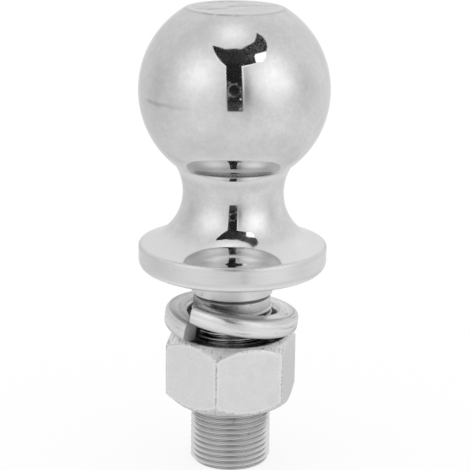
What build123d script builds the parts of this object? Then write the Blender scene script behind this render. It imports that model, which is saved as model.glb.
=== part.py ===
from build123d import *
import os
from math import atan2, cos, degrees, pi, radians, sin, sqrt, tan

# Threaded tow ball with its spring lock washer and hex nut.
# Millimetres. +Z is up through the ball, and the origin is the centre of the shank's flat end.

os.makedirs("parts", exist_ok=True)

# Ball: 2-5/16 in
ball_diameter = 58.74
ball_rise = 56.4  # the ball's centre above the flange's seat
crown_flat_diameter = 30.0
crown_edge_radius = 2.6

# Neck between the ball and the flange
neck_top_diameter = 36.0  # where it runs into the ball
neck_diameter = 31.3
neck_rise = 24.5  # the narrowest place above the flange's seat
neck_crease_radius = 2.6  # the hollow corner between the ball and the neck

# Flange that seats on the drawbar
flange_diameter = 58.6
flange_rim_height = 7.4
flange_top_slope = 21.5  # degrees from level
flange_rim_edge = 1.2
flange_foot_radius = 3.8

# Shank: 1 in by 2-1/2 in, 14 threads to the inch
shank_diameter = 25.4
shank_length = 63.5
collar_length = 8.4
groove_depth = 0.35  # the nick under the collar, below the plain stretch
blank_length = 3.4  # the plain stretch that the rolled thread rises from
thread_pitch = 1.814
thread_allowance = 0.2  # the crests' diameter is under the shank's by this much
shank_end_clearance = 0.15  # the end chamfer runs this far inside the thread's root

# Hex nut: 1-1/2 in across flats, less the usual allowance
nut_across_flats = 37.4
nut_height = 22.35
nut_height_on_shank = 20.5  # from the shank's end up to the nut's lower face
nut_face_inset = 0.85  # the edge of each face's flat ring, inside the flats
nut_chamfer_angle = 42.0
nut_corner_azimuth = -12.3  # degrees from the front towards +X
nut_countersink = 0.75  # each bore mouth is wider by this much on the radius
nut_edge_radius = 0.95
thread_clearance = 0.05  # between the bore and the thread's crests, on the radius

# Split lock washer: a left-hand coil of just under one turn
washer_clearance = 1.0  # round the shank, on the radius
washer_bar_width = 7.2
washer_bar_height = 6.2
washer_corner_radius = 1.8
washer_rise = 6.1  # the coil's climb in a full turn
washer_gap = 0.96  # between the two ends, along the bar's middle
washer_start_azimuth = -42.7  # the lower end, degrees from the front towards +X
washer_tilt = 6.9  # degrees that the coil leans
washer_tilt_azimuth = 94.0  # the side that it leans down to
washer_seat_gap = 0.1  # between its lowest edge and the nut

# Sizes that follow
ball_radius = ball_diameter / 2
crown_radius = crown_flat_diameter / 2
seat_height = shank_length
ball_height = seat_height + ball_rise
crown_height = ball_height + sqrt(ball_radius**2 - crown_radius**2)
neck_radius = neck_diameter / 2
neck_height = seat_height + neck_rise
rim_radius = flange_diameter / 2
rim_height = seat_height + flange_rim_height
collar_radius = shank_diameter / 2
collar_bottom = seat_height - collar_length
blank_bottom = collar_bottom - blank_length
thread_radius = collar_radius - thread_allowance / 2
thread_depth = 0.6134 * thread_pitch  # the unified form's depth
blank_radius = collar_radius - 0.3248 * thread_pitch  # its pitch radius
nut_bottom = nut_height_on_shank
nut_top = nut_bottom + nut_height
nut_bore_radius = thread_radius + thread_clearance
washer_bore_radius = collar_radius + washer_clearance


def arc(centre, radius, start, end):
    """The arc about a centre from one angle to another, in degrees."""
    return CenterArc(centre, radius, start, end - start)


def angle_of(point, centre):
    """The direction from a centre to a point, in degrees."""
    return degrees(atan2(point[1] - centre[1], point[0] - centre[0]))


def rounded(face, corner, radius):
    """The outline with the corner nearest to a point rounded."""
    nearest = face.vertices().sort_by_distance(Vector(corner[0], corner[1]))[0]
    return fillet(nearest, radius)


def upper_neck(joint):
    """Centre and radius of the curve from the ball down to the waist, upright at the waist."""
    across = joint[0] - neck_radius
    up = joint[1] - neck_height
    radius = (across**2 + up**2) / (2 * across)
    return (neck_radius + radius, neck_height), radius


def lower_neck():
    """Centre and radius of the curve from the waist down to the flange's sloping top."""
    slope = radians(flange_top_slope)
    fall = neck_height - rim_height - (rim_radius - neck_radius) * tan(slope)
    radius = fall / (cos(slope) - (1 - sin(slope)) * tan(slope))
    return (neck_radius + radius, neck_height), radius


def shank_corners():
    """From the flange's rim round its seat and down the shank to the axis."""
    groove_radius = blank_radius - groove_depth
    end_radius = thread_radius - thread_depth - shank_end_clearance
    return [
        (rim_radius, rim_height),
        (rim_radius, seat_height),
        (collar_radius, seat_height),
        (collar_radius, collar_bottom + collar_radius - groove_radius),
        (groove_radius, collar_bottom),
        (blank_radius, collar_bottom - groove_depth),
        (blank_radius, blank_bottom),
        (thread_radius, blank_bottom - thread_radius + blank_radius),
        (thread_radius, thread_radius - end_radius),
        (end_radius, 0),
        (0, 0),
    ]


def ball_outline():
    """Half of the whole turned piece, on the right of its axis."""
    ball = (0, ball_height)
    crown = (crown_radius, crown_height)
    joint_radius = neck_top_diameter / 2
    joint = (joint_radius, ball_height - sqrt(ball_radius**2 - joint_radius**2))
    upper, upper_radius = upper_neck(joint)
    lower, lower_radius = lower_neck()
    foot_angle = 270 - flange_top_slope
    foot = (
        lower[0] + lower_radius * cos(radians(foot_angle)),
        lower[1] + lower_radius * sin(radians(foot_angle)),
    )
    outline = [
        arc(ball, ball_radius, angle_of(crown, ball), angle_of(joint, ball)),
        arc(upper, upper_radius, angle_of(joint, upper), 180),
        arc(lower, lower_radius, 180, foot_angle),
        Polyline(foot, *shank_corners(), (0, crown_height), crown),
    ]
    face = make_face(outline)
    face = rounded(face, crown, crown_edge_radius)
    face = rounded(face, joint, neck_crease_radius)
    face = rounded(face, (rim_radius, rim_height), flange_rim_edge)
    return rounded(face, (rim_radius, seat_height), flange_foot_radius)


def tow_ball():
    """Ball, neck, flange, collar and shank, turned as one piece."""
    return revolve(Plane.XZ * ball_outline(), Axis.Z)


def double_chamfer():
    """A round billet that leaves the nut's two faces with a flat ring and a chamfer."""
    face_radius = nut_across_flats / 2 - nut_face_inset
    outer = nut_across_flats / sqrt(3) + nut_face_inset  # just clear of the corners
    drop = (outer - face_radius) * tan(radians(nut_chamfer_angle))
    outline = Polyline(
        (0, nut_bottom),
        (face_radius, nut_bottom),
        (outer, nut_bottom + drop),
        (outer, nut_top - drop),
        (face_radius, nut_top),
        (0, nut_top),
        close=True,
    )
    return revolve(Plane.XZ * make_face(outline), Axis.Z)


def hex_nut():
    """Hexagon bar, chamfered on both faces, bored and countersunk."""
    hexagon = RegularPolygon(nut_across_flats / 2, 6, major_radius=False)
    hexagon = fillet(hexagon.vertices(), nut_edge_radius)
    corner_turn = nut_corner_azimuth - 90
    bar = Rot(0, 0, corner_turn) * extrude(hexagon, nut_height)
    body = Pos(0, 0, nut_bottom) * bar & double_chamfer()

    mouth_radius = nut_bore_radius + nut_countersink
    bore = Polyline(
        (0, nut_bottom),
        (mouth_radius, nut_bottom),
        (nut_bore_radius, nut_bottom + nut_countersink),
        (nut_bore_radius, nut_top - nut_countersink),
        (mouth_radius, nut_top),
        (0, nut_top),
        close=True,
    )
    return body - revolve(Plane.XZ * make_face(bore), Axis.Z)


def washer_coil():
    """The washer's bar, swept up a left-hand coil about Z, centred on its middle height."""
    middle_radius = washer_bore_radius + washer_bar_width / 2
    turn = 1 - washer_gap / (2 * pi * middle_radius)
    height = washer_rise * turn
    path = Helix(washer_rise, height, middle_radius, lefthand=True)
    section = RectangleRounded(washer_bar_width, washer_bar_height, washer_corner_radius)
    start = Plane((middle_radius, 0, 0), x_dir=(1, 0, 0), z_dir=path % 0)
    coil = sweep(start * section, path=path, is_frenet=True)
    return Pos(0, 0, -height / 2) * coil


def lock_washer():
    """The coil, turned to its place and leaning on the nut's upper face."""
    lean = washer_tilt_azimuth - 90
    coil = Rot(0, 0, washer_start_azimuth - 90 - lean) * washer_coil()
    leaning = Rot(0, 0, lean) * Rot(0, washer_tilt, 0) * coil
    lowest = leaning.bounding_box().min.Z
    return Pos(0, 0, nut_top + washer_seat_gap - lowest) * leaning


for name, piece in (
    ("tow_ball", tow_ball()),
    ("lock_washer", lock_washer()),
    ("hex_nut", hex_nut()),
):
    piece.label = name
    export_step(piece, f"parts/{name}.step")
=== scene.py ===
from math import atan2, ceil, cos, degrees, pi, radians, sin, sqrt, tan

import bmesh
import bpy
from mathutils import Matrix, Vector


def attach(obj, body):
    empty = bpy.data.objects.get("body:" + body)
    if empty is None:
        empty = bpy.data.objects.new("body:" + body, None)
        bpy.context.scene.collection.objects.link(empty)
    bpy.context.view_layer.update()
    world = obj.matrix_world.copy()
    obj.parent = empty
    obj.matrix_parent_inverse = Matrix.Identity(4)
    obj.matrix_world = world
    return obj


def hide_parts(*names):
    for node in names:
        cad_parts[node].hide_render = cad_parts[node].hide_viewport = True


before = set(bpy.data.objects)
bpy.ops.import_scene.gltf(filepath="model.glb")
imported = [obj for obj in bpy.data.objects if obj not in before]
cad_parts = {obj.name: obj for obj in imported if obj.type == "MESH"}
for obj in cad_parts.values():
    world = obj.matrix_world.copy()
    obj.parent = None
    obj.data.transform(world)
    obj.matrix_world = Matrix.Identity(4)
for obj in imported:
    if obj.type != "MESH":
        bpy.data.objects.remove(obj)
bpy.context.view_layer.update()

# Sizes in millimetres, nearly all as the solids have them
MM = 0.001
BALL_RADIUS = 29.37
BALL_HEIGHT = 119.9  # its centre
CROWN_RADIUS = 15.0
CROWN_EDGE = 2.6  # radius of the flat's rounded edge
NECK_TOP_RADIUS = 18.0
NECK_RADIUS = 15.65
NECK_HEIGHT = 88.0  # the waist
NECK_CREASE = 2.6  # the hollow corner between the ball and the neck
RIM_RADIUS = 29.3
RIM_HEIGHT = 71.5
RIM_EDGE = 0.95
NECK_FLARE = 16.33  # radius of the curve under the waist
NECK_FLARE_TURN = 52.0  # degrees that it has turned where it opens out
NECK_FOOT = 18.27  # radius of the rest of it
NECK_FOOT_TURN = 70.3
FLANGE_FOOT = 3.2
SEAT_HEIGHT = 63.5
COLLAR_RADIUS = 12.7
COLLAR_BOTTOM = 55.1
SEAT_RING = 1.2  # the stretch of the seat next to the collar that is finished like the collar
COLLAR_FILLET = 0.2  # the hollow corner between the seat and the collar
COLLAR_EDGE = 0.35
NICK_EDGE = 0.12
BLANK_EDGE = 0.3
GROOVE_DEPTH = 0.35
BLANK_BOTTOM = 51.7
PITCH = 1.814
CREST_HALF = 1 / 16  # half the flat on a thread's crest, as a share of its pitch
FLANK_ANGLE = 30.0  # degrees between a flank and level
OUTER_DEPTH = 0.6134  # the thread's depth as a share of its pitch, on the shank
INNER_DEPTH = 0.5413  # and in the nut
CREST_ROUNDING = 0.07
ROOT_ROUNDING = 0.12
THREAD_PHASE = 0.24  # how far up its pitch the thread's crest stands towards +X
BLANK_RADIUS = COLLAR_RADIUS - 0.3248 * PITCH
THREAD_RADIUS = 12.6
SHANK_END_RADIUS = THREAD_RADIUS - OUTER_DEPTH * PITCH - 0.15

NUT_ACROSS_FLATS = 37.4
NUT_BOTTOM = 20.5
NUT_TOP = 42.85
NUT_FACE_INSET = 0.85  # the edge of each face's flat ring, inside the flats
NUT_FACE_RADIUS = NUT_ACROSS_FLATS / 2 - NUT_FACE_INSET
NUT_CHAMFER_ANGLE = 42.0
NUT_CORNER_AZIMUTH = -12.3  # degrees from the front towards +X
NUT_CORNER_RADIUS = 0.95
NUT_BORE_RADIUS = 12.66
NUT_MOUTH_RADIUS = 13.4
NUT_FLAT_STEPS = 22

WASHER_BAR = (7.2, 6.2)  # width and height of its section
WASHER_CORNER = 1.8
WASHER_CLEARANCE = 1.0  # round the shank, on the radius
WASHER_RADIUS = COLLAR_RADIUS + WASHER_CLEARANCE + WASHER_BAR[0] / 2
WASHER_RISE = 6.1  # the coil's climb in a full turn
WASHER_GAP = 0.96  # between its two ends, along the bar's middle
WASHER_START = -42.7  # the lower end, degrees from the front towards +X
WASHER_TILT = 6.9  # degrees that the coil leans
WASHER_TILT_AZIMUTH = 94.0  # the side that it leans down to
WASHER_SEAT_GAP = 0.2  # between its lowest edge and the nut
WASHER_END_EDGE = 0.22
WASHER_SHARE = 1 - WASHER_GAP / (2 * pi * WASHER_RADIUS)  # of a full turn
WASHER_LENGTH = WASHER_SHARE * sqrt((2 * pi * WASHER_RADIUS) ** 2 + WASHER_RISE**2)

TURNED_SEGMENTS = 180
COIL_STEPS = 240
SHARP_ANGLE = 32.0  # degrees between two faces that are shaded apart
BALL_CENTRE = Vector((0.0, 0.0, BALL_HEIGHT * MM))

# The camera: millimetres, and degrees that it looks down, to the right and is rolled
CAMERA_PLACE = (0.0, -553.47, 227.99)
CAMERA_PITCH = 15.5525
CAMERA_YAW = 0.075
CAMERA_ROLL = 0.7203
CAMERA_LENS = 141.34


# Trees of nodes, written as sums

class Value:
    """One output of a node. Sums on it add Math nodes to its tree."""

    def __init__(self, tree, socket):
        self.tree = tree
        self.socket = socket

    def then(self, operation, *others):
        """A Math node that takes this value first."""
        return self.tree.maths(operation, self, *others)

    def __add__(self, other):
        return self.then("ADD", other)

    def __sub__(self, other):
        return self.then("SUBTRACT", other)

    def __rsub__(self, other):
        return self.tree.maths("SUBTRACT", other, self)

    def __mul__(self, other):
        return self.then("MULTIPLY", other)

    def __truediv__(self, other):
        return self.then("DIVIDE", other)

    def __neg__(self):
        return self.then("MULTIPLY", -1.0)

    def __abs__(self):
        return self.then("ABSOLUTE")

    __radd__ = __add__
    __rmul__ = __mul__

    def clamp(self, low=0.0, high=1.0):
        return self.then("MINIMUM", high).then("MAXIMUM", low)

    def smooth(self, low, high):
        """0 below low, 1 above high, and a soft step between."""
        settings = {"interpolation_type": "SMOOTHSTEP"}
        return self.tree.node("ShaderNodeMapRange", settings, (self, low, high))

    def within(self, foot, top, edge, end):
        """A soft step up from foot to top, and one down from edge to end."""
        return self.smooth(foot, top) * (1.0 - self.smooth(edge, end))


def length_of(x, y):
    """The length of a vector in a plane."""
    return (x * x + y * y).then("SQRT")


def azimuth_of(x, y):
    """Degrees round the upright axis, from the front towards +X."""
    return x.then("ARCTAN2", -y) * (180 / pi)


class Tree:
    """A node tree whose nodes all come from one method."""

    def __init__(self, tree):
        self.tree = tree

    def node(self, kind, settings=None, values=(), out=0):
        """A new node with its settings and its inputs' values. It gives one of its outputs.

        The settings items and captured add to a list that the node holds."""
        node = self.tree.nodes.new(kind)
        for name, value in (settings or {}).items():
            if name == "items":
                while len(node.index_switch_items) < value:
                    node.index_switch_items.new()
            elif name == "captured":
                node.capture_items.new(value, "kept")
            else:
                setattr(node, name, value)
        pairs = values.items() if isinstance(values, dict) else enumerate(values)
        for key, value in pairs:
            if isinstance(value, Value):
                self.tree.links.new(value.socket, node.inputs[key])
            elif value is not None:
                node.inputs[key].default_value = value
        return Value(self, node.outputs[out]) if node.outputs else None

    def maths(self, operation, *values):
        return self.node("ShaderNodeMath", {"operation": operation}, values)

    def compass(self, sight):
        """A direction's azimuth and elevation, in degrees."""
        x, y, z = self.parts(sight)
        return azimuth_of(x, y), z.then("ARCSINE") * (180 / pi)

    def parts(self, vector):
        """The three numbers of a vector."""
        first = self.node("ShaderNodeSeparateXYZ", {}, (vector,))
        return [Value(self, socket) for socket in first.socket.node.outputs]

    def vector(self, *numbers):
        return self.node("ShaderNodeCombineXYZ", {}, numbers)

    def vector_maths(self, operation, *values, out=0):
        return self.node("ShaderNodeVectorMath", {"operation": operation}, values, out)

    def given(self, name, kind="NodeSocketFloat"):
        """A new named input of the tree."""
        self.tree.interface.new_socket(name, in_out="INPUT", socket_type=kind)
        if not hasattr(self, "inlet"):
            self.inlet = self.node("NodeGroupInput").socket.node
        return Value(self, self.inlet.outputs[name])

    def give(self, geometry):
        """The tree's result, real and with its material."""
        self.tree.interface.new_socket(
            "Result", in_out="OUTPUT", socket_type="NodeSocketGeometry"
        )
        real = self.node("GeometryNodeRealizeInstances", {}, (geometry,))
        finish = self.given("Material", "NodeSocketMaterial")
        painted = self.node(
            "GeometryNodeSetMaterial", {}, {"Geometry": real, "Material": finish}
        )
        self.node("NodeGroupOutput", {}, (painted,))


def bare_tree(owner):
    """The emptied node tree of a material or a world."""
    owner.use_nodes = True
    owner.node_tree.nodes.clear()
    return Tree(owner.node_tree)


# Meshes

def placed(name, data):
    """A new object in the scene."""
    piece = bpy.data.objects.new(name, data)
    bpy.context.scene.collection.objects.link(piece)
    return piece


def plain_mesh(name, rings):
    """A skin over rings of points. A ring of one point is a pole."""
    points = []
    starts = []
    for ring in rings:
        starts.append(len(points))
        points.extend([tuple(c * MM for c in p) for p in ring])
    faces = []
    count = max(len(ring) for ring in rings)
    for a in range(len(rings) - 1):
        b = a + 1
        for j in range(count):
            k = (j + 1) % count
            upper = [starts[a]] if len(rings[a]) == 1 else [starts[a] + k, starts[a] + j]
            lower = [starts[b]] if len(rings[b]) == 1 else [starts[b] + j, starts[b] + k]
            faces.append(upper + lower)
    mesh = bpy.data.meshes.new(name)
    mesh.from_pydata(points, [], faces)
    return mesh


def grown(name, base, tree, values):
    """The plain mesh that a tree of geometry nodes grows from a base mesh."""
    piece = placed(name, base)
    modifier = piece.modifiers.new("grow", "NODES")
    modifier.node_group = tree
    names = {
        item.name: item.identifier
        for item in tree.interface.items_tree
        if item.in_out == "INPUT"
    }
    for key, value in values.items():
        modifier[names[key]] = value
    return settled(piece)


def settled(piece):
    """The piece's mesh with its modifiers made real. The piece itself goes."""
    bpy.context.view_layer.update()
    graph = bpy.context.evaluated_depsgraph_get()
    mesh = bpy.data.meshes.new_from_object(
        piece.evaluated_get(graph), preserve_all_data_layers=True, depsgraph=graph
    )
    piece.modifiers.clear()
    bpy.data.objects.remove(piece)
    return mesh


def welded(name, skins):
    """One closed object from several skins, each with the number of its material."""
    whole = bmesh.new()
    for mesh, finish in skins:
        start = len(whole.faces)
        whole.from_mesh(mesh)
        whole.faces.ensure_lookup_table()
        for face in whole.faces[start:]:
            face.material_index = finish
            face.smooth = True
    bmesh.ops.remove_doubles(whole, verts=whole.verts, dist=2e-6)
    bmesh.ops.dissolve_degenerate(whole, edges=whole.edges, dist=1e-7)
    bmesh.ops.recalc_face_normals(whole, faces=whole.faces)
    mesh = bpy.data.meshes.new(name)
    whole.to_mesh(mesh)
    whole.free()
    mesh.set_sharp_from_angle(angle=radians(SHARP_ANGLE))
    piece = placed(name, mesh)
    return piece


def finished(piece, body, node, materials):
    """Gives a piece its materials and body, and hides its CAD node."""
    for material in materials:
        piece.data.materials.append(material)
    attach(piece, body)
    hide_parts(node)


def ring_angles(count):
    return [2 * pi * j / count for j in range(count)]


def turned(name, outline, angles):
    """An outline of (radius, height) points, turned about the axis."""
    rings = []
    for r, z in outline:
        if r < 1e-6:
            rings.append([(0.0, 0.0, z)])
        else:
            rings.append([(r * cos(a), r * sin(a), z) for a in angles])
    return plain_mesh(name, rings)


def point_ring(name, angles):
    """Loose points, 10 mm from the axis, that give a thread the angles of its columns."""
    points = [(10 * MM * cos(a), 10 * MM * sin(a), 0.0) for a in angles]
    mesh = bpy.data.meshes.new(name)
    mesh.from_pydata(points, [], [])
    return mesh


# Outlines

def arc(centre, radius, start, end, step=2.0):
    """Points along an arc, in degrees, with both ends."""
    count = max(2, ceil(abs(end - start) / step))
    angles = [radians(start + (end - start) * i / count) for i in range(count + 1)]
    return [(centre[0] + radius * cos(a), centre[1] + radius * sin(a)) for a in angles]


def angle_of(point, centre):
    return degrees(atan2(point[1] - centre[1], point[0] - centre[0]))


def run(corners, hold=0.2, steps=5):
    """A run of straight stretches whose corners, (x, y, radius), are rounded.

    A point close to each end of a stretch keeps its shading flat."""
    points = []
    ends = []
    for i, (x, y, radius) in enumerate(corners):
        here = Vector((x, y))
        if radius == 0 or i in (0, len(corners) - 1):
            ends.append([here])
            continue
        back = (Vector(corners[i - 1][:2]) - here).normalized()
        on = (Vector(corners[i + 1][:2]) - here).normalized()
        half = back.angle(on) / 2
        reach = radius / tan(half)
        centre = here + (back + on).normalized() * radius / sin(half)
        first, last = here + back * reach, here + on * reach
        start = angle_of(first, centre)
        turn = (angle_of(last, centre) - start + 180) % 360 - 180
        ends.append(
            [Vector(p) for p in arc(centre, radius, start, start + turn, abs(turn) / steps)]
        )
    for i, bend in enumerate(ends):
        points.extend(bend)
        if i + 1 < len(ends):
            a, b = bend[-1], ends[i + 1][0]
            share = min(hold / max((b - a).length, 1e-9), 0.3)
            points.extend([a.lerp(b, share), b.lerp(a, share)])
    return [tuple(p) for p in points]


def meet(c1, r1, c2, r2, side):
    """Where two circles meet, on one side of the line between their centres."""
    a, b = Vector(c1), Vector(c2)
    d = (b - a).length
    along = (r1 * r1 - r2 * r2 + d * d) / (2 * d)
    across = sqrt(r1 * r1 - along * along)
    line = (b - a) / d
    return a + line * along + Vector((-line.y, line.x)) * across * side


def ball_outline():
    """From the crown's centre to its edge, and on over the ball and down the neck to its foot."""
    ball = (0.0, BALL_HEIGHT)
    crown_height = BALL_HEIGHT + sqrt(BALL_RADIUS**2 - CROWN_RADIUS**2)
    edge_z = crown_height - CROWN_EDGE
    edge_r = sqrt((BALL_RADIUS - CROWN_EDGE) ** 2 - (edge_z - BALL_HEIGHT) ** 2)
    edge_angle = angle_of((edge_r, edge_z), ball)

    joint = (
        NECK_TOP_RADIUS,
        BALL_HEIGHT - sqrt(BALL_RADIUS**2 - NECK_TOP_RADIUS**2),
    )
    across, up = joint[0] - NECK_RADIUS, joint[1] - NECK_HEIGHT
    upper_radius = (across**2 + up**2) / (2 * across)
    upper = (NECK_RADIUS + upper_radius, NECK_HEIGHT)
    crease = meet(ball, BALL_RADIUS + NECK_CREASE, upper, upper_radius - NECK_CREASE, -1)
    ball_end = angle_of(crease, ball)
    upper_start = angle_of(crease, upper) % 360

    lower = (NECK_RADIUS + NECK_FLARE, NECK_HEIGHT)
    opening = radians(180 + NECK_FLARE_TURN)
    inwards = Vector((cos(opening), sin(opening)))
    foot = Vector(lower) + inwards * (NECK_FLARE - NECK_FOOT)

    flat = [(0.0, crown_height)] + [
        (edge_r * share, crown_height) for share in (0.2, 0.4, 0.6, 0.8, 0.96)
    ]
    crown = flat + arc((edge_r, edge_z), CROWN_EDGE, 90, edge_angle, 8)
    body = arc(ball, BALL_RADIUS, edge_angle, ball_end, 1.5)[1:]
    crease_end = angle_of(crease, upper)
    body += arc(crease, NECK_CREASE, ball_end + 180, crease_end, 4)[1:]
    body += arc(upper, upper_radius, upper_start, 180, 1.8)[1:]
    body += arc(lower, NECK_FLARE, 180, 180 + NECK_FLARE_TURN, 1.8)[1:]
    body += arc(foot, NECK_FOOT, 180 + NECK_FLARE_TURN, 180 + NECK_FOOT_TURN, 1.2)[1:]
    return crown, body


def flange_outline(start):
    """From the neck's foot round the flange to its seat, and down the collar to the thread."""
    groove = BLANK_RADIUS - GROOVE_DEPTH
    flange = run([
        (start[0], start[1], 0),
        (RIM_RADIUS, RIM_HEIGHT, RIM_EDGE),
        (RIM_RADIUS, SEAT_HEIGHT, FLANGE_FOOT),
        (COLLAR_RADIUS + SEAT_RING, SEAT_HEIGHT, 0),
    ])
    shank = run([
        (COLLAR_RADIUS + SEAT_RING, SEAT_HEIGHT, 0),
        (COLLAR_RADIUS, SEAT_HEIGHT, COLLAR_FILLET),
        (COLLAR_RADIUS, COLLAR_BOTTOM + COLLAR_RADIUS - groove, COLLAR_EDGE),
        (groove, COLLAR_BOTTOM, NICK_EDGE),
        (BLANK_RADIUS, COLLAR_BOTTOM - GROOVE_DEPTH, BLANK_EDGE),
        (BLANK_RADIUS, BLANK_BOTTOM, 0),
    ])
    return flange[1:], shank


# What climbs or coils

def thread_tree():
    """A screw thread: rows of points that climb one pitch in a turn.

    It starts from a ring of points, which gives the angles of the columns. The thread's crest
    lies at (angle / full turn + phase) * pitch. Its two ends run level into a ring of a given
    radius."""
    tree = Tree(bpy.data.node_groups.new("rolled_thread", "GeometryNodeTree"))
    ring = tree.given("Ring", "NodeSocketGeometry")
    pitch, crest, full_depth = (tree.given(name) for name in ("Pitch", "Crest radius", "Depth"))
    bottom, top = tree.given("Bottom"), tree.given("Top")
    bottom_radius, top_radius = tree.given("Bottom radius"), tree.given("Top radius")
    phase = tree.given("Phase")
    rows_a_pitch = (0.0, 0.055, 0.1, 0.33, 0.41, 0.5, 0.59, 0.67, 0.9, 0.945)
    steps = float(len(rows_a_pitch))

    columns = tree.node("GeometryNodeAttributeDomainSize", {}, (ring,))
    rows = ((top - bottom) / pitch + 3.0).then("CEIL") * steps
    grid = tree.node("GeometryNodeMeshGrid", {}, (columns, rows, columns + 1.0, rows + 1.0))
    place = tree.node("GeometryNodeInputPosition")
    x, y, _ = tree.parts(place)
    column = (x + columns / 2.0).then("ROUND")
    row = (y + rows / 2.0).then("ROUND")
    around = column.then("FLOORED_MODULO", columns)
    settings = {"data_type": "FLOAT_VECTOR"}
    spoke = tree.node("GeometryNodeSampleIndex", settings, {
        "Geometry": ring, "Value": place, "Index": around,
    })
    spoke_x, spoke_y, _ = tree.parts(spoke)
    angle = spoke_y.then("ARCTAN2", spoke_x)
    share = (angle / (2 * pi)).then("FLOORED_MODULO", 1.0)
    share = share + (column / columns).then("FLOOR") + phase

    turn = (row / steps).then("FLOOR")
    offset = tree.node(
        "GeometryNodeIndexSwitch",
        {"data_type": "FLOAT", "items": len(rows_a_pitch)},
        {0: row - turn * steps, **{i + 1: v for i, v in enumerate(rows_a_pitch)}},
    )
    first = (bottom / pitch).then("FLOOR") - 1.0
    free_height = pitch * (first + turn + offset + share)
    height = free_height.clamp(bottom, top)

    side = (height / pitch - share).then("PINGPONG", 0.5)
    flank = (side - CREST_HALF) / tan(radians(FLANK_ANGLE))
    depth = flank.then("SMOOTH_MAX", 0.0, CREST_ROUNDING)
    depth = depth.then("SMOOTH_MIN", full_depth, ROOT_ROUNDING)
    radius = crest - depth * pitch
    for end_radius, rise in ((bottom_radius, height - bottom), (top_radius, top - height)):
        radius = radius.clamp(end_radius - rise, end_radius + rise)

    spoke_end = tree.vector_maths("NORMALIZE", tree.vector(spoke_x, spoke_y, 0.0))
    level = tree.node(
        "ShaderNodeVectorMath", {"operation": "SCALE"}, {0: spoke_end, "Scale": radius}
    )
    target = tree.vector_maths("ADD", level, tree.vector(0.0, 0.0, height))
    moved = tree.node("GeometryNodeSetPosition", {}, {"Geometry": grid, "Position": target})
    merged = tree.node("GeometryNodeMergeByDistance", {}, {"Geometry": moved, "Distance": 2e-6})
    tree.give(tree.node("GeometryNodeSetShadeSmooth", {}, {"Geometry": merged}))
    return tree.tree


def coil_tree():
    """The lock washer's bar, swept up a left-hand coil, open where its two ends part.

    Each point keeps its place in the bar: across it, up it and along it."""
    tree = Tree(bpy.data.node_groups.new("coiled_bar", "GeometryNodeTree"))
    tree.given("Base", "NodeSocketGeometry")
    width, height, corner = (tree.given(name) for name in ("Width", "Height", "Corner"))
    radius, rise, share = (tree.given(name) for name in ("Radius", "Rise", "Share of a turn"))

    line = tree.node("GeometryNodeCurvePrimitiveLine", {}, (None, (1.0, 0.0, 0.0)))
    line = tree.node("GeometryNodeResampleCurve", {}, {"Curve": line, "Count": COIL_STEPS})
    along = tree.node("GeometryNodeSplineParameter")
    angle = along * share * (-2 * pi)
    spot = tree.vector(
        radius * angle.then("COSINE"),
        radius * angle.then("SINE"),
        rise * share * (along - 0.5),
    )
    path = tree.node("GeometryNodeSetPosition", {}, {"Geometry": line, "Position": spot})
    path = tree.node("GeometryNodeSetCurveNormal", {"mode": "Z_UP"}, {"Curve": path})
    length = tree.node("GeometryNodeSplineParameter", {}, (), 1)

    bar = tree.node("GeometryNodeCurvePrimitiveQuadrilateral", {}, (width, height))
    rounding = {"Curve": bar, "Count": 7, "Radius": corner}
    bar = tree.node("GeometryNodeFilletCurve", {"mode": "POLY"}, rounding)
    place = tree.node("GeometryNodeInputPosition")

    def captured(curve, value, kind):
        kept = tree.node("GeometryNodeCaptureAttribute", {"captured": kind}, (curve, value))
        return kept, Value(tree, kept.socket.node.outputs[1])

    path, run_along = captured(path, length, "FLOAT")
    bar, section = captured(bar, place, "VECTOR")
    across, up, _ = tree.parts(section)
    swept = tree.node("GeometryNodeCurveToMesh", {}, {
        "Curve": path, "Profile Curve": bar, "Fill Caps": True,
    })
    kept = tree.node("GeometryNodeStoreNamedAttribute", {"data_type": "FLOAT_VECTOR"}, {
        "Geometry": swept, "Name": "bar_place", "Value": tree.vector(across, up, run_along),
    })
    tree.give(kept)
    return tree.tree


# Finishes

EDGE_TINT = 0.74  # how much of a plain metal's gleam at grazing angles these platings have
CREASE_HEIGHT = 97.0  # the middle of the hollow corner under the ball
SEAM_HEIGHT = BALL_HEIGHT - 1.0  # the polishing seam on the ball's left


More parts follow.
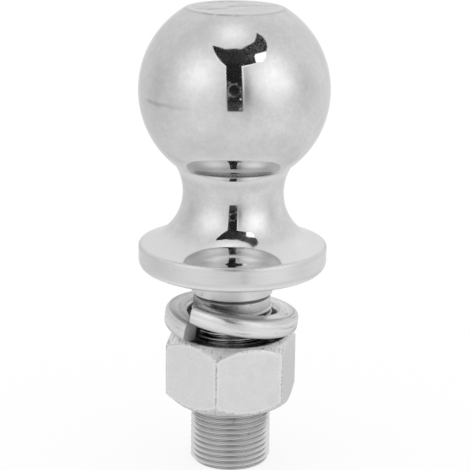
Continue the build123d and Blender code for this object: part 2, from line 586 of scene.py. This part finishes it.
class Finish(Tree):
    """A metal finish: one Principled shader and what changes over its surface."""

    def __init__(self, name):
        self.material = bpy.data.materials.new(name)
        self.material.use_nodes = True
        super().__init__(self.material.node_tree)
        self.shader = self.tree.nodes["Principled BSDF"]
        self.shader.inputs["Metallic"].default_value = 1.0
        self.shader.inputs["Specular Tint"].default_value = (*grey(EDGE_TINT), 1.0)
        self.place = self.node("ShaderNodeTexCoord", {}, (), "Object")

    def polar(self):
        """Millimetres from the upright axis, degrees round it, and millimetres up it."""
        x, y, z = self.parts(self.place)
        return length_of(x, y) / MM, azimuth_of(x, y), z / MM

    def noise(self, size, detail=2.0, stretch=(1.0, 1.0, 1.0), where=None, rough=0.5):
        """Soft noise around 0.5 whose grains are about size millimetres."""
        place = self.vector_maths("MULTIPLY", where or self.place, stretch)
        return self.node("ShaderNodeTexNoise", {}, {
            "Vector": place, "Scale": 1 / (size * MM), "Detail": detail, "Roughness": rough,
        })

    def blend(self, share, first, second):
        """A colour between two."""
        colours = [c if isinstance(c, Value) else (*c, 1.0) for c in (first, second)]
        return self.node(
            "ShaderNodeMix", {"data_type": "RGBA"}, {0: share, 6: colours[0], 7: colours[1]}, 2
        )

    def feed(self, **links):
        """Links to the shader's sockets, by name with _ for a space."""
        for name, value in links.items():
            self.tree.links.new(value.socket, self.shader.inputs[name.replace("_", " ")])

    def bump(self, *layers):
        """Heights and their depths in millimetres, one over the other."""
        normal = None
        for height, depth in layers:
            values = {"Height": height, "Distance": depth * MM, "Normal": normal}
            normal = self.node("ShaderNodeBump", {}, values)
        self.feed(Normal=normal)


def grey(level):
    """A neutral metal colour."""
    return (level, level, level)


def mirror_chrome():
    """Bright chrome over forged steel: clouding, haze, fine pits and a faint polishing seam.
    Painted light lifts the shaded crease and underside of the ball, the hollows of the neck and the
    flange's underside.
    """
    finish = Finish("mirror_chrome")
    reach, around, z = finish.polar()
    cloud = finish.noise(11.0, 3.0)
    grain = finish.noise(1.3, 3.0)
    fine = finish.noise(0.45, 2.0)
    haze = finish.noise(3.2, 4.0, rough=0.6).smooth(0.42, 0.7)
    pits = finish.noise(0.6, 1.0).smooth(0.74, 0.82)
    spots = finish.noise(1.0, 2.0).smooth(0.7, 0.78)
    streaks = finish.noise(1.6, 3.0, (0.25, 0.25, 3.0)).smooth(0.35, 0.7)
    tone = cloud * 0.35 + grain * 0.25 + haze * 0.1 + fine * 0.3

    seam = (z - SEAM_HEIGHT) / 0.75 + (finish.noise(4.0, 3.0) - 0.5) * 1.6
    seam = (1.0 - abs(seam).smooth(0.1, 1.4)) * around.within(-66.0, -59.0, -58.0, -14.0)
    rim = reach.smooth(RIM_RADIUS - 1.1, RIM_RADIUS - 0.6)
    rim = rim * (1.0 - z.smooth(RIM_HEIGHT + 0.2, RIM_HEIGHT + 0.5))
    edge = rim * z.smooth(RIM_HEIGHT - 1.2, RIM_HEIGHT - 0.7)
    # Painted light: the flange's lower lip and underside, in shade above the washer, take a lighter
    # grey(0.78) and are also rougher
    foot = reach.smooth(COLLAR_RADIUS + 0.3, COLLAR_RADIUS + 0.6)
    foot = foot * (1.0 - z.smooth(SEAT_HEIGHT + 1.0, SEAT_HEIGHT + 2.6))
    above = z - CREASE_HEIGHT
    crease = above.within(-1.0, -0.4, 0.4, 1.2)
    under_ball = above.within(2.0, 4.0, 6.0, 8.0)
    hollow = above.within(-4.0, -1.5, 2.0, 4.5)
    hollow = hollow + (z - RIM_HEIGHT).within(-1.0, 0.5, 3.0, 6.0)
    front = 1.0 - abs(around).smooth(22.0, 44.0)

    plate = finish.blend(tone.smooth(0.36, 0.6), grey(0.53), grey(0.598))
    # Painted light: the crease, the ball's underside near the front and the hollows of the neck and
    # above the rim are given lighter colours, where they lie in shade
    plate = finish.blend(hollow * 0.7, plate, grey(0.68))
    plate = finish.blend(under_ball * front * 0.55, plate, grey(0.68))
    plate = finish.blend(crease * front * 0.9, plate, grey(0.86))
    band = finish.blend(streaks, grey(0.61), grey(0.585))
    plate = finish.blend(rim, plate, band)
    marks = (seam * (0.25 + 0.5 * grain) + 0.35 * spots).clamp()
    plate = finish.blend(marks, plate, grey(0.3))
    finish.feed(
        Base_Color=finish.blend(foot, plate, grey(0.78)),
        Roughness=(
            0.035 + 0.05 * cloud.smooth(0.35, 0.7) + 0.04 * haze + 0.05 * pits
            + 0.3 * edge + 0.35 * foot + 0.14 * crease
        ),
    )
    finish.bump(
        (finish.noise(5.0, 2.0), 0.004), (grain, 0.0007), (pits, -0.002), (streaks * rim, 0.001)
    )
    return finish.material


def crown_face():
    """The crown's flat: a coarse machined face under the plating, with a worn edge in front."""
    finish = Finish("crown_face")
    reach, around, _ = finish.polar()
    wander = (finish.noise(3.0, 3.0) - 0.5) * 2.0
    flat = 1.0 - (reach + wander).smooth(CROWN_RADIUS - 2.6, CROWN_RADIUS - 0.9)
    cloud = finish.noise(5.0, 4.0)
    scratch = finish.noise(3.4, 5.0, (0.35, 1.1, 1.0), rough=0.75).smooth(0.5, 0.6)
    scratch = scratch * finish.noise(7.0, 3.0).smooth(0.44, 0.56)
    lip = reach.smooth(CROWN_RADIUS - 1.0, CROWN_RADIUS - 0.5)
    worn_side = around.within(-64.0, -36.0, -2.0, 10.0)
    wear = lip * (0.35 + 0.65 * worn_side) * finish.noise(2.4, 3.0).smooth(0.3, 0.5)
    coarse = finish.blend(cloud.smooth(0.35, 0.65), grey(0.57), grey(0.64))
    marked = finish.blend(scratch * 0.9, coarse, grey(0.3))
    plate = finish.blend(flat, grey(0.54), marked)
    finish.feed(
        Base_Color=finish.blend(wear * 0.75, plate, grey(0.34)),
        Roughness=0.07 + (0.15 + 0.2 * cloud) * flat,
    )
    finish.bump((cloud * flat, 0.03), (scratch * flat, -0.03), (wear, -0.01))
    return finish.material


def shank_plate():
    """The collar and shank: turned or roll-formed, then plated. Painted shade darkens the thread
    under the washer, the groove under the collar, the thread roots and the blank's shaded side.
    """
    finish = Finish("shank_plate")
    reach, around, z = finish.polar()
    lines = finish.noise(0.8, 2.0, (0.06, 0.06, 5.0))
    cloud = finish.noise(4.0, 3.0)
    stain = finish.noise(1.6, 3.0).smooth(0.62, 0.75)
    brushed = finish.noise(1.1, 4.0, (0.25, 0.25, 1.6), rough=0.6)
    patchy = finish.noise(2.6, 3.0, (1.0, 1.0, 2.0)).smooth(0.25, 0.55)
    threaded = 1.0 - z.smooth(BLANK_BOTTOM - 1.2, BLANK_BOTTOM - 0.2)
    collar = z.smooth(COLLAR_BOTTOM - 0.1, COLLAR_BOTTOM + 0.2)
    blank = (1.0 - threaded) * (1.0 - collar)
    # The groove at the collar's foot, which gets painted shade below
    nick = (z - COLLAR_BOTTOM).within(-0.45, -0.2, 0.5, 0.75)
    crest = reach.smooth(THREAD_RADIUS - 0.4, THREAD_RADIUS - 0.12)
    # The thread roots, which get painted shade in the plate colour; the stains are the plating's
    # own
    root = threaded * (1.0 - reach.smooth(THREAD_RADIUS - 1.0, THREAD_RADIUS - 0.6))

    # Painted shade on the thread under the washer: less at the front and on the crests
    facing = around.within(-26.0, -12.0, 8.0, 26.0)
    crests_spared = 0.72 * crest + 0.26 * crest * facing
    under_washer = threaded * z.smooth(NUT_TOP - 2.0, NUT_TOP)
    painted_shade = under_washer * (0.7 + 0.3 * patchy) * (1.0 - 0.55 * facing) * (1.0 - crests_spared)
    # Painted shade on the blank: strongest on its shaded left side, and broken up by brushed
    # streaks
    shade_side = 1.0 - around.smooth(-12.0, 24.0)
    painted_blank_shade = blank * (0.12 + 0.5 * shade_side) * brushed.smooth(0.2, 0.6)
    painted_shade = painted_shade.then("MAXIMUM", 0.7 * nick).then("MAXIMUM", painted_blank_shade)
    plate = finish.blend((stain * 0.6 + 0.65 * root).clamp(), grey(0.66), grey(0.33))
    plate = finish.blend(collar * 0.3, plate, grey(0.5))
    finish.feed(
        Base_Color=finish.blend(painted_shade.clamp(), plate, grey(0.07)),
        Roughness=(
            0.2 + 0.1 * cloud.smooth(0.3, 0.7) + 0.12 * collar + 0.18 * blank
            + 0.1 * threaded * (1.0 - under_washer)
        ),
    )
    finish.bump((lines, 0.004), (cloud, 0.004), (brushed * blank, 0.01))
    return finish.material


def washer_zinc():
    """Zinc over drawn spring steel: streaks and scores run along the bar, duller on its corners.

    The sweep turns the bar's section over, so that its top has the lowest place up the bar."""
    finish = Finish("washer_zinc")
    bar = finish.node("ShaderNodeAttribute", {"attribute_name": "bar_place"}, (), "Vector")
    across, up, along = (part / MM for part in finish.parts(bar))
    half_width, half_height = WASHER_BAR[0] / 2, WASHER_BAR[1] / 2
    side = abs(across).smooth(half_width - WASHER_CORNER, half_width - 0.5 * WASHER_CORNER)
    level = abs(up).smooth(half_height - WASHER_CORNER, half_height - 0.5 * WASHER_CORNER)
    top = (-up).smooth(half_height - 0.5, half_height - 0.1)
    cut = 1.0 - along.within(0.1, 0.3, WASHER_LENGTH - 0.3, WASHER_LENGTH - 0.1)
    x, y, _ = (part / MM for part in finish.parts(finish.place))
    outer = length_of(x, y).smooth(WASHER_RADIUS - 1.6, WASHER_RADIUS - 0.9)
    # Painted shade: the top face is darker on the left side of the washer
    painted_shade_left = 1.0 - x.smooth(-16.0, -5.0)

    streak = finish.noise(0.5, 4.0, (1.0, 1.0, 0.03), bar, 0.6)
    score = finish.noise(0.55, 3.0, (1.0, 1.0, 0.07), bar, 0.65).smooth(0.58, 0.67)
    nick = finish.noise(1.1, 2.0, (1.0, 1.0, 0.6), bar).smooth(0.72, 0.77)
    cloud = finish.noise(5.0, 3.0, (1.0, 1.0, 0.35), bar)
    rolled_marks_and_shade = finish.noise(0.7, 3.0, (1.0, 0.4, 0.03), bar, 0.6).smooth(0.42, 0.62)
    # The top face: rolled marks, and painted shade on the left side
    rolled_marks_and_shade = top * (0.25 * rolled_marks_and_shade + 0.8 * painted_shade_left).clamp()
    dull = (side * level * (0.1 + 0.6 * streak)).clamp()
    shoulder = abs(across) - (half_width - WASHER_CORNER + 0.15)
    shoulder = 1.0 - abs(shoulder).smooth(0.15, 0.6)
    shoulder = shoulder * top * outer * (0.3 + 0.9 * streak.smooth(0.4, 0.6))

    plate = finish.blend(streak.smooth(0.3, 0.7), grey(0.6), grey(0.73))
    worn = finish.blend((dull + rolled_marks_and_shade).clamp(), plate, grey(0.42))
    worn = finish.blend((0.6 * shoulder).clamp(), worn, grey(0.25))
    marked = finish.blend((score * 0.8 + nick).clamp(), worn, grey(0.3))
    finish.feed(
        # The cut ends get painted shade: near black on their inner half, towards the shank, and
        # dark grey on the outer half
        Base_Color=finish.blend(cut, marked, finish.blend(outer, grey(0.05), grey(0.42))),
        Roughness=0.2 + 0.14 * cloud.smooth(0.3, 0.7) + 0.1 * dull + 0.35 * cut,
    )
    finish.bump((streak, 0.003), (score, -0.006), (nick, -0.01), (cloud, 0.01))
    return finish.material


def nut_zinc():
    """Zinc over the nut's roll-formed flats: satin and faintly mottled, with a painted dark line
    along every edge and a painted highlight beside it.
    """
    finish = Finish("nut_zinc")
    reach, around, z = finish.polar()
    from_corner = reach * (around - NUT_CORNER_AZIMUTH).then("PINGPONG", 30.0) * (pi / 180)
    fall = (reach - NUT_FACE_RADIUS) * tan(radians(NUT_CHAMFER_ANGLE))
    from_rim = (NUT_TOP - NUT_BOTTOM) / 2 - fall - abs(z - (NUT_TOP + NUT_BOTTOM) / 2)
    inside = from_corner.then("SMOOTH_MIN", from_rim, 1.2) + 0.25
    edge = inside + (finish.noise(1.0, 4.0, rough=0.7) - 0.5) * 1.9
    broken = finish.noise(2.2, 3.0).smooth(0.3, 0.6)
    # Painted shade: a broken dark line along every corner and chamfer edge
    line = (1.0 - edge.smooth(0.3, 0.6)) * (0.3 + 0.7 * broken)
    # Painted highlight: a band just inside that line
    gleam = edge.within(0.4, 0.7, 0.8, 1.5)

    cloud = finish.noise(3.5, 4.0)
    grain = finish.noise(0.7, 3.0)
    specks = finish.noise(1.3, 2.0).smooth(0.72, 0.8)
    mottle = (cloud * 0.6 + grain * 0.4).smooth(0.3, 0.7)
    plate = finish.blend(mottle, grey(0.63), grey(0.68))
    # The plate with the painted highlight laid over it
    brightened = finish.blend(gleam * 0.6, plate, grey(0.74))
    finish.feed(
        Base_Color=finish.blend(line * 0.7 + 0.15 * specks, brightened, grey(0.34)),
        Roughness=0.19 + 0.1 * cloud.smooth(0.3, 0.7) + 0.15 * line,
    )
    finish.bump((cloud, 0.008), (grain, 0.0008), (specks, -0.004), (line, -0.02))
    return finish.material


def nut_turned():
    """The nut's faces and chamfers: turned rings, handling scratches, and painted shade on the
    inner part of the faces, where the top one lies under the washer.
    """
    finish = Finish("nut_turned")
    reach, around, z = finish.polar()
    section = finish.vector(reach * MM, z * MM, 0.0)
    rings = finish.noise(0.9, 3.0, (1.0, 0.5, 0.3), section, 0.65)
    cloud = finish.noise(2.0, 3.0)
    scratch = finish.noise(1.3, 4.0, (1.5, 0.6, 1.0), rough=0.8).smooth(0.53, 0.6)
    brightened = finish.noise(1.2, 4.0, rough=0.65).smooth(0.5, 0.7)
    face = 1.0 - reach.smooth(NUT_FACE_RADIUS - 1.0, NUT_FACE_RADIUS)
    facing = around.within(-42.0, -25.0, 0.0, 18.0)
    # Painted shade on the inner part of the faces, under the washer: less at the front and on the
    # turned rings
    painted_shade = face * (0.75 + 0.3 * cloud.smooth(0.3, 0.6)) * (1.0 - 0.5 * facing)
    painted_shade = painted_shade * (1.0 - 0.85 * rings.smooth(0.47, 0.6))
    plate = finish.blend(rings.smooth(0.35, 0.65), grey(0.66), grey(0.76))
    marked = finish.blend(scratch * 0.6, plate, grey(0.3))
    bright = finish.blend(brightened * 0.45, marked, grey(0.82))
    finish.feed(
        Base_Color=finish.blend(painted_shade.clamp(), bright, grey(0.05)),
        Roughness=0.38 + 0.14 * cloud.smooth(0.3, 0.7) - 0.15 * face,
    )
    finish.bump((rings, 0.008), (cloud, 0.012), (scratch, -0.012))
    return finish.material


# The three pieces

def make_tow_ball():
    angles = ring_angles(TURNED_SEGMENTS)
    crown, body = ball_outline()
    flange, shank = flange_outline(body[-1])
    ring = point_ring("shank_ring", angles)
    thread = grown("thread", ring, THREAD, {
        "Pitch": PITCH * MM,
        "Phase": THREAD_PHASE,
        "Crest radius": THREAD_RADIUS * MM,
        "Depth": OUTER_DEPTH,
        "Bottom": 0.0,
        "Top": BLANK_BOTTOM * MM,
        "Bottom radius": SHANK_END_RADIUS * MM,
        "Top radius": BLANK_RADIUS * MM,
        "Material": SHANK_PLATE,
    })
    end = [(SHANK_END_RADIUS, 0.0), (SHANK_END_RADIUS - 0.25, 0.0), (5.0, 0.0), (0.0, 0.0)]
    skins = [
        (turned("crown", crown, angles), 1),
        (turned("ball_and_flange", crown[-1:] + body + flange, angles), 0),
        (turned("collar", shank, angles), 2),
        (thread, 2),
        (turned("shank_end", end, angles), 2),
    ]
    piece = welded("forged_ball", skins)
    finished(piece, "ball_body", "tow_ball", [CHROME, CROWN, SHANK_PLATE])


def nut_plan():
    """The hexagon with its rounded corners, seen from above, as a list of (angle, radius)."""
    apothem = NUT_ACROSS_FLATS / 2
    corner = (apothem - NUT_CORNER_RADIUS) / cos(radians(30))
    shares = [0.01] + [i / NUT_FLAT_STEPS for i in range(1, NUT_FLAT_STEPS)] + [0.99]
    plan = []
    for side in range(6):
        middle = radians(NUT_CORNER_AZIMUTH - 90 + 60 * side)
        centre = Vector((corner * cos(middle), corner * sin(middle)))
        bend = []
        for i in range(7):
            turn = middle + radians(-30 + 10 * i)
            bend.append(centre + Vector((cos(turn), sin(turn))) * NUT_CORNER_RADIUS)
        after = middle + radians(60)
        next_centre = Vector((corner * cos(after), corner * sin(after)))
        turn = middle + radians(30)
        next_start = next_centre + Vector((cos(turn), sin(turn))) * NUT_CORNER_RADIUS
        plan.extend(bend + [bend[-1].lerp(next_start, share) for share in shares])
    spots = [(p.angle_signed(Vector((1.0, 0.0))) % (2 * pi), p.length) for p in plan]
    return sorted(spots)


def make_hex_nut():
    plan = nut_plan()
    angles = [angle for angle, _ in plan]
    middle = (NUT_TOP + NUT_BOTTOM) / 2
    sections = []
    for angle, reach in plan:
        width = reach - NUT_FACE_RADIUS
        drop = width * tan(radians(NUT_CHAMFER_ANGLE))
        soft = min(0.6, 0.9 * width)
        half = run([
            (NUT_MOUTH_RADIUS, NUT_TOP, 0),
            (NUT_FACE_RADIUS, NUT_TOP, soft),
            (reach, NUT_TOP - drop, 0.5),
            (reach, middle, 0),
        ])
        lower = [(r, 2 * middle - z) for r, z in reversed(half[:-1])]
        sections.append([(r * cos(angle), r * sin(angle), z) for r, z in half + lower])
    rings = [list(ring) for ring in zip(*sections)]
    thread = grown("bore", point_ring("bore_ring", angles), THREAD, {
        "Pitch": PITCH * MM,
        "Phase": THREAD_PHASE,
        "Crest radius": NUT_BORE_RADIUS * MM,
        "Depth": INNER_DEPTH,
        "Bottom": NUT_BOTTOM * MM,
        "Top": NUT_TOP * MM,
        "Bottom radius": NUT_MOUTH_RADIUS * MM,
        "Top radius": NUT_MOUTH_RADIUS * MM,
        "Material": NUT_TURNED,
    })
    chamfer = 14  # rings from the mouth over the chamfer to its edge
    last = len(rings) - 1
    skins = [
        (plain_mesh("top_face", rings[:chamfer + 1]), 1),
        (plain_mesh("flats", rings[chamfer:last - chamfer + 1]), 0),
        (plain_mesh("lower_face", rings[last - chamfer:]), 1),
        (thread, 1),
    ]
    piece = welded("hex_nut_zinc", skins)
    finished(piece, "nut_body", "hex_nut", [NUT_ZINC, NUT_TURNED])


def make_lock_washer():
    base = bpy.data.meshes.new("coil_base")
    mesh = grown("coil", base, coil_tree(), {
        "Width": WASHER_BAR[0] * MM,
        "Height": WASHER_BAR[1] * MM,
        "Corner": WASHER_CORNER * MM,
        "Radius": WASHER_RADIUS * MM,
        "Rise": WASHER_RISE * MM,
        "Share of a turn": WASHER_SHARE,
        "Material": WASHER_ZINC,
    })
    lean = radians(WASHER_TILT_AZIMUTH - 90)
    start = radians(WASHER_START - 90)
    turn = (
        Matrix.Rotation(lean, 4, "Z")
        @ Matrix.Rotation(radians(WASHER_TILT), 4, "Y")
        @ Matrix.Rotation(start - lean, 4, "Z")
    )
    mesh.transform(turn)
    lowest = min(v.co.z for v in mesh.vertices)
    mesh.transform(Matrix.Translation((0, 0, (NUT_TOP + WASHER_SEAT_GAP) * MM - lowest)))
    piece = placed("coil_ends", mesh)
    edge = piece.modifiers.new("end_edges", "BEVEL")
    edge.width = WASHER_END_EDGE * MM
    edge.segments = 3
    edge.limit_method = "ANGLE"
    edge.angle_limit = radians(50)
    piece = welded("split_lock_washer", [(settled(piece), 0)])
    finished(piece, "washer_body", "lock_washer", [WASHER_ZINC])


# The studio

def direction(azimuth, elevation):
    """Towards an azimuth, from the front to +X, and an elevation, in degrees."""
    a, e = radians(azimuth), radians(elevation)
    return (sin(a) * cos(e), -cos(a) * cos(e), sin(e))


def light_tent():
    """A white tent, with soft pools of lamp light that only polished metal shows."""
    world = bpy.data.worlds.new("tent")
    bpy.context.scene.world = world
    tree = bare_tree(world)
    sight = tree.node("ShaderNodeTexCoord", {}, (), "Generated")

    def pool(azimuth, elevation, spread):
        near = tree.vector_maths("DOT_PRODUCT", sight, direction(azimuth, elevation), out=1)
        return ((near - 1.0) * (2 / radians(spread) ** 2)).then("EXPONENT")

    azimuth, elevation = tree.compass(sight)

    def ridge(value, middle, spread):
        off = (value - middle) / spread
        return (-(off * off)).then("EXPONENT")

    shown = (
        0.89
        + 0.59 * pool(-46, 24, 27)
        + 0.72 * pool(49, 24, 25)
        + 0.13 * pool(68, 13, 10)
        + 0.5 * pool(-18, 79, 15.5)
        + 0.38 * pool(168, -3, 62)
        + 0.2 * pool(54, -33, 35)
        + 0.2 * pool(-40, -42, 30)
        - 0.36 * pool(8, 5, 15)
        - 0.08 * pool(27, -5, 8)
        - 0.13 * pool(93, 0, 18)
        - 0.14 * pool(-107, 2, 22)
        - 0.4 * pool(180, -15.5, 14)
        - 0.28 * ridge(azimuth, 15.0, 5.5) * ridge(elevation, 14.0, 32.0)
    )
    glossy = tree.node("ShaderNodeLightPath", out="Is Glossy Ray")
    level = 1.0 + (shown - 1.0) * glossy
    back = tree.node("ShaderNodeBackground", {}, {"Color": (1.0, 1.0, 1.0, 1.0), "Strength": level})
    tree.node("ShaderNodeOutputWorld", {}, (back,))


def glow(name, brightness):
    """A surface that only glows. Its brightness is a number, or a function of its tree."""
    material = bpy.data.materials.new(name)
    tree = bare_tree(material)
    strength = brightness(tree) if callable(brightness) else brightness
    light = tree.node("ShaderNodeEmission", {}, {"Strength": strength})
    tree.node("ShaderNodeOutputMaterial", {}, (light,))
    return material


# The tent's slot and a white card beside it, in degrees of azimuth and elevation from the ball
TENT_SLOT = [
    (-47.8, 58.3), (-30.2, 58.8), (-18.7, 57.8), (-9.8, 59.2), (3.4, 59.8), (12.4, 58.6),
    (25.8, 61.8), (49.3, 63.8), (62.2, 66.7), (79.3, 69.3), (77.7, 63.3), (72.4, 58.1),
    (65.2, 53.4), (56.8, 49.2), (36.8, 50.1), (33.3, 47.7), (32.3, 40.7), (21.8, 39.7),
    (9.7, 38.5), (9.4, 24.1), (9.8, -14.1), (-7.7, -14.1), (-9.5, 17.6), (-12.0, 38.1),
    (-22.4, 43.7), (-35.0, 51.3),
]
WHITE_CARD = [(32.1, 40.8), (33.0, 47.8), (36.7, 50.3), (56.8, 49.4), (50.8, 43.8), (41.8, 39.9)]
SLOT_HEM = [
    (-36.4, 50.1), (-23.6, 42.1), (-13.4, 36.8), (-11.1, 17.6), (-9.2, 2.0), (-3.0, 2.0),
    (-3.0, -13.0), (-7.0, -13.0), (-6.5, -15.2), (11.6, -15.0), (11.5, 24.1), (11.8, 36.7),
    (21.9, 37.9), (32.0, 39.2), (31.0, 45.0), (0.0, 50.0), (-34.0, 53.0),
]
SLOT_DISTANCE = 0.7  # metres from the ball
SLOT_WIDENING = 0.3  # degrees
SHEET_GAP = 0.01  # metres: the card hangs before the slot by this much, and the hem behind it
RING = (-0.4, 10.1, 7.1)  # azimuth, elevation and radius of a ring in the slot
RING_MOUNT = (
    (-6.2, 18.2, 2.6), (2.4, 17.5, 1.9), (-6.3, 4.5, 3.0), (7.5, 13.0, 1.8), (7.5, 9.0, 1.8),
)


def widened(points, by):
    """An outline moved outwards by a distance. It runs clockwise in azimuth and elevation."""
    moved = []
    for i, point in enumerate(points):
        here = Vector(point)
        back = (here - Vector(points[i - 1])).normalized()
        on = (Vector(points[(i + 1) % len(points)]) - here).normalized()
        out = Vector((-back.y - on.y, back.x + on.x)).normalized()
        square = max(0.6, out.dot(Vector((-on.y, on.x))))
        moved.append(tuple(here + out * by / square))
    return moved


def tent_card(name, outline, distance, material):
    """A piece of the tent that only polished metal sees."""
    shape = bmesh.new()
    shape.faces.new([shape.verts.new((a, e, 0.0)) for a, e in outline])
    bmesh.ops.triangulate(shape, faces=shape.faces, quad_method="BEAUTY", ngon_method="BEAUTY")
    for _ in range(3):
        bmesh.ops.subdivide_edges(shape, edges=shape.edges, cuts=1, use_grid_fill=True)
    for vert in shape.verts:
        away = Vector(direction(vert.co.x, vert.co.y))
        glance = (away + Vector(direction(0.0, CAMERA_PITCH))).normalized()
        vert.co = BALL_CENTRE + glance * BALL_RADIUS * MM + away * distance
    mesh = bpy.data.meshes.new(name)
    shape.to_mesh(mesh)
    shape.free()
    mesh.materials.append(material)
    piece = placed(name, mesh)
    piece.visible_camera = piece.visible_diffuse = piece.visible_shadow = False


def dark_room(tree):
    """What the slot shows: darkness, faint grain, and a ring with small mounts about it."""
    place = tree.node("ShaderNodeTexCoord", {}, (), "Object")
    sight = tree.vector_maths("SUBTRACT", place, tuple(BALL_CENTRE))
    sight = tree.vector_maths("NORMALIZE", sight)
    azimuth, elevation = tree.compass(sight)

    def away(a, e):
        return length_of(azimuth - a, elevation - e)

    ring_a, ring_e, ring_r = RING
    rim = away(ring_a, ring_e) - ring_r
    rim = 1.0 - abs(rim).smooth(0.3, 0.9)
    rim = rim * (0.25 + 0.75 * (1.0 - azimuth.smooth(-3.0, 3.0)))
    mount = 0.0
    for a, e, size in RING_MOUNT:
        mount = mount + (1.0 - away(a, e).smooth(size * 0.5, size))
    grain = tree.node("ShaderNodeTexNoise", {}, {"Vector": sight, "Scale": 52.0, "Detail": 3.0})
    grain = grain.smooth(0.47, 0.63)
    ceiling = elevation.smooth(38.0, 46.0) * (0.25 + 0.75 * azimuth.smooth(8.0, 26.0))
    foot = 1.0 - elevation.smooth(-6.0, -2.0)
    glint = 1.0 - away(7.2, 0.3).smooth(0.6, 1.1)
    glint = glint.then("MAXIMUM", 0.3 * (1.0 - away(7.0, -11.0).smooth(0.8, 1.6)))
    return (
        0.018 + 0.26 * grain * ceiling + foot * (0.025 + 0.09 * grain)
        + 0.36 * rim + 0.17 * mount + 1.8 * glint
    )


def bright_hem(tree):
    """The slot's turned edge: it catches the lamps at the top, and less further down."""
    _, _, z = tree.parts(tree.node("ShaderNodeTexCoord", {}, (), "Object"))
    height = (z - BALL_HEIGHT * MM) / (SLOT_DISTANCE + BALL_RADIUS * MM)
    return 0.72 + 0.75 * height.smooth(-0.2, 0.55)


def tent_slot():
    """The dark slot in the tent's front, its bright hem and a white card."""
    for name, outline, distance, finish in (
        ("slot", widened(TENT_SLOT, SLOT_WIDENING), SLOT_DISTANCE, glow("dark_room", dark_room)),
        ("white_card", WHITE_CARD, SLOT_DISTANCE - SHEET_GAP, glow("card_white", 2.0)),
        ("slot_hem", SLOT_HEM, SLOT_DISTANCE + SHEET_GAP, glow("hem_white", bright_hem)),
    ):
        tent_card(name, outline, distance, finish)


FLOOR_RADIUS = 0.185  # metres
FLOOR_GLOW = 0.78  # the share of its own light in what the camera and the metal see of it


def floor():
    """A plain white floor that keeps the object's shadow."""
    mesh = bpy.data.meshes.new("floor")
    edge = [(FLOOR_RADIUS * cos(a), FLOOR_RADIUS * sin(a), 0.0) for a in ring_angles(96)]
    mesh.from_pydata(edge, [], [tuple(range(len(edge)))])
    material = bpy.data.materials.new("floor_white")
    tree = bare_tree(material)
    glossy = tree.node("ShaderNodeLightPath", out="Is Glossy Ray")
    seen = tree.node("ShaderNodeLightPath", out="Is Camera Ray") + glossy
    seen = (seen + tree.node("ShaderNodeLightPath", out="Is Transmission Ray")).clamp()
    paint = tree.node("ShaderNodeBsdfDiffuse", {}, {"Color": (0.9, 0.9, 0.9, 1.0)})
    white = tree.node("ShaderNodeEmission", {}, {"Strength": 1.03})
    mixed = tree.node("ShaderNodeMixShader", {}, (seen * FLOOR_GLOW, paint, white))
    x, y, _ = tree.parts(tree.node("ShaderNodeTexCoord", {}, (), "Object"))
    fade = glossy * length_of(x, y).smooth(0.55 * FLOOR_RADIUS, FLOOR_RADIUS)
    clear = tree.node("ShaderNodeBsdfTransparent")
    soft = tree.node("ShaderNodeMixShader", {}, (fade, mixed, clear))
    tree.node("ShaderNodeOutputMaterial", {}, (soft,))
    mesh.materials.append(material)
    piece = placed("floor", mesh)


def camera():
    """Level with the ball and looking a little down on it, from the front."""
    pitch, yaw, roll = (radians(a) for a in (CAMERA_PITCH, CAMERA_YAW, CAMERA_ROLL))
    ahead = Vector((sin(yaw) * cos(pitch), cos(yaw) * cos(pitch), -sin(pitch)))
    up = Vector((sin(yaw) * sin(pitch), cos(yaw) * sin(pitch), cos(pitch)))
    right = Vector((cos(yaw), -sin(yaw), 0.0))
    x_axis = right * cos(roll) + up * sin(roll)
    y_axis = up * cos(roll) - right * sin(roll)
    data = bpy.data.cameras.new("camera")
    data.lens = CAMERA_LENS
    data.sensor_width = 36.0
    data.clip_start = 0.01
    piece = placed("camera", data)
    turn = Matrix((x_axis, y_axis, -ahead)).transposed().to_4x4()
    piece.matrix_world = Matrix.Translation(Vector(CAMERA_PLACE) * MM) @ turn
    bpy.context.scene.camera = piece


CHROME = mirror_chrome()
CROWN = crown_face()
SHANK_PLATE = shank_plate()
WASHER_ZINC = washer_zinc()
NUT_ZINC = nut_zinc()
NUT_TURNED = nut_turned()
THREAD = thread_tree()

make_tow_ball()
make_lock_washer()
make_hex_nut()
light_tent()
tent_slot()
floor()
camera()
bpy.context.scene.view_settings.view_transform = "Standard"
